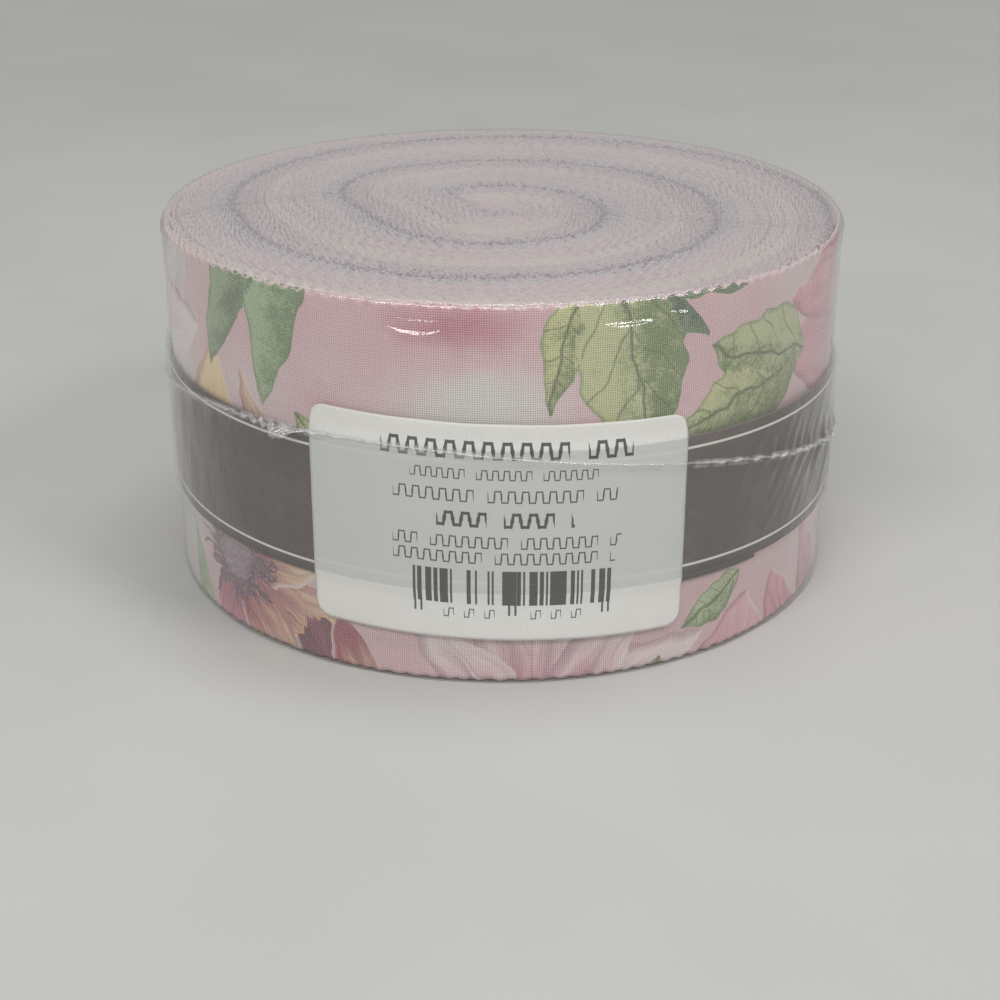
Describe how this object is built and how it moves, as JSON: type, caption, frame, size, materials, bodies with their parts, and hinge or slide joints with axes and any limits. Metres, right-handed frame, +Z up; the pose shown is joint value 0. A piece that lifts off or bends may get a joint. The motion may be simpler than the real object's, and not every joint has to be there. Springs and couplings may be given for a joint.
{
  "type": "fabric strip roll",
  "caption": "Roll of folded pre-cut quilting cotton strips with pinked edges, in a printed cover strip, a paper band and label, sealed in clear shrink film.",
  "frame": {"origin": "middle of the roll's bottom face, on the roll's axis", "axes": "+Z up along the roll's axis, -Y towards the middle of the label, +X to the label's right"},
  "size_m": [0.1236, 0.1236, 0.0646],
  "materials": {
    "cloth_lavender": "plain-woven quilting cotton, printed, matte, with pinked edges",
    "cloth_blush": "plain-woven quilting cotton, printed, matte, with pinked edges",
    "cloth_cream": "plain-woven quilting cotton, printed, matte, with pinked edges",
    "cloth_mauve": "plain-woven quilting cotton, printed, matte, with pinked edges",
    "cloth_charcoal": "plain-woven quilting cotton, printed, matte, with pinked edges",
    "cloth_print": "plain-woven quilting cotton with a printed garden pattern, matte, pinked edges",
    "band_paper": "uncoated dark taupe paper with two thin pale lines",
    "label_paper": "thin white label paper, slightly satin",
    "film": "clear glossy shrink film"
  },
  "bodies": {
    "root": {"strip_01": "cloth_lavender", "strip_02": "cloth_lavender", "strip_03": "cloth_lavender", "strip_04": "cloth_lavender", "strip_05": "cloth_lavender", "strip_06": "cloth_lavender", "strip_07": "cloth_blush", "strip_08": "cloth_blush", "strip_09": "cloth_blush", "strip_10": "cloth_blush", "strip_11": "cloth_blush", "strip_12": "cloth_blush", "strip_13": "cloth_blush", "strip_14": "cloth_blush", "strip_15": "cloth_blush", "strip_16": "cloth_blush", "strip_17": "cloth_blush", "strip_18": "cloth_blush", "strip_19": "cloth_cream", "strip_20": "cloth_cream", "strip_21": "cloth_cream", "strip_22": "cloth_cream", "strip_23": "cloth_cream", "strip_24": "cloth_cream", "strip_25": "cloth_cream", "strip_26": "cloth_cream", "strip_27": "cloth_cream", "strip_28": "cloth_mauve", "strip_29": "cloth_mauve", "strip_30": "cloth_mauve", "strip_31": "cloth_mauve", "strip_32": "cloth_mauve", "strip_33": "cloth_mauve", "strip_34": "cloth_mauve", "strip_35": "cloth_mauve", "strip_36": "cloth_mauve", "strip_37": "cloth_charcoal", "strip_38": "cloth_charcoal", "strip_39": "cloth_charcoal", "cover_strip": "cloth_print", "paper_band": "band_paper", "label": "label_paper", "film_lower": "film", "film_upper": "film", "film_seam": "film"}
  },
  "joints": []
}
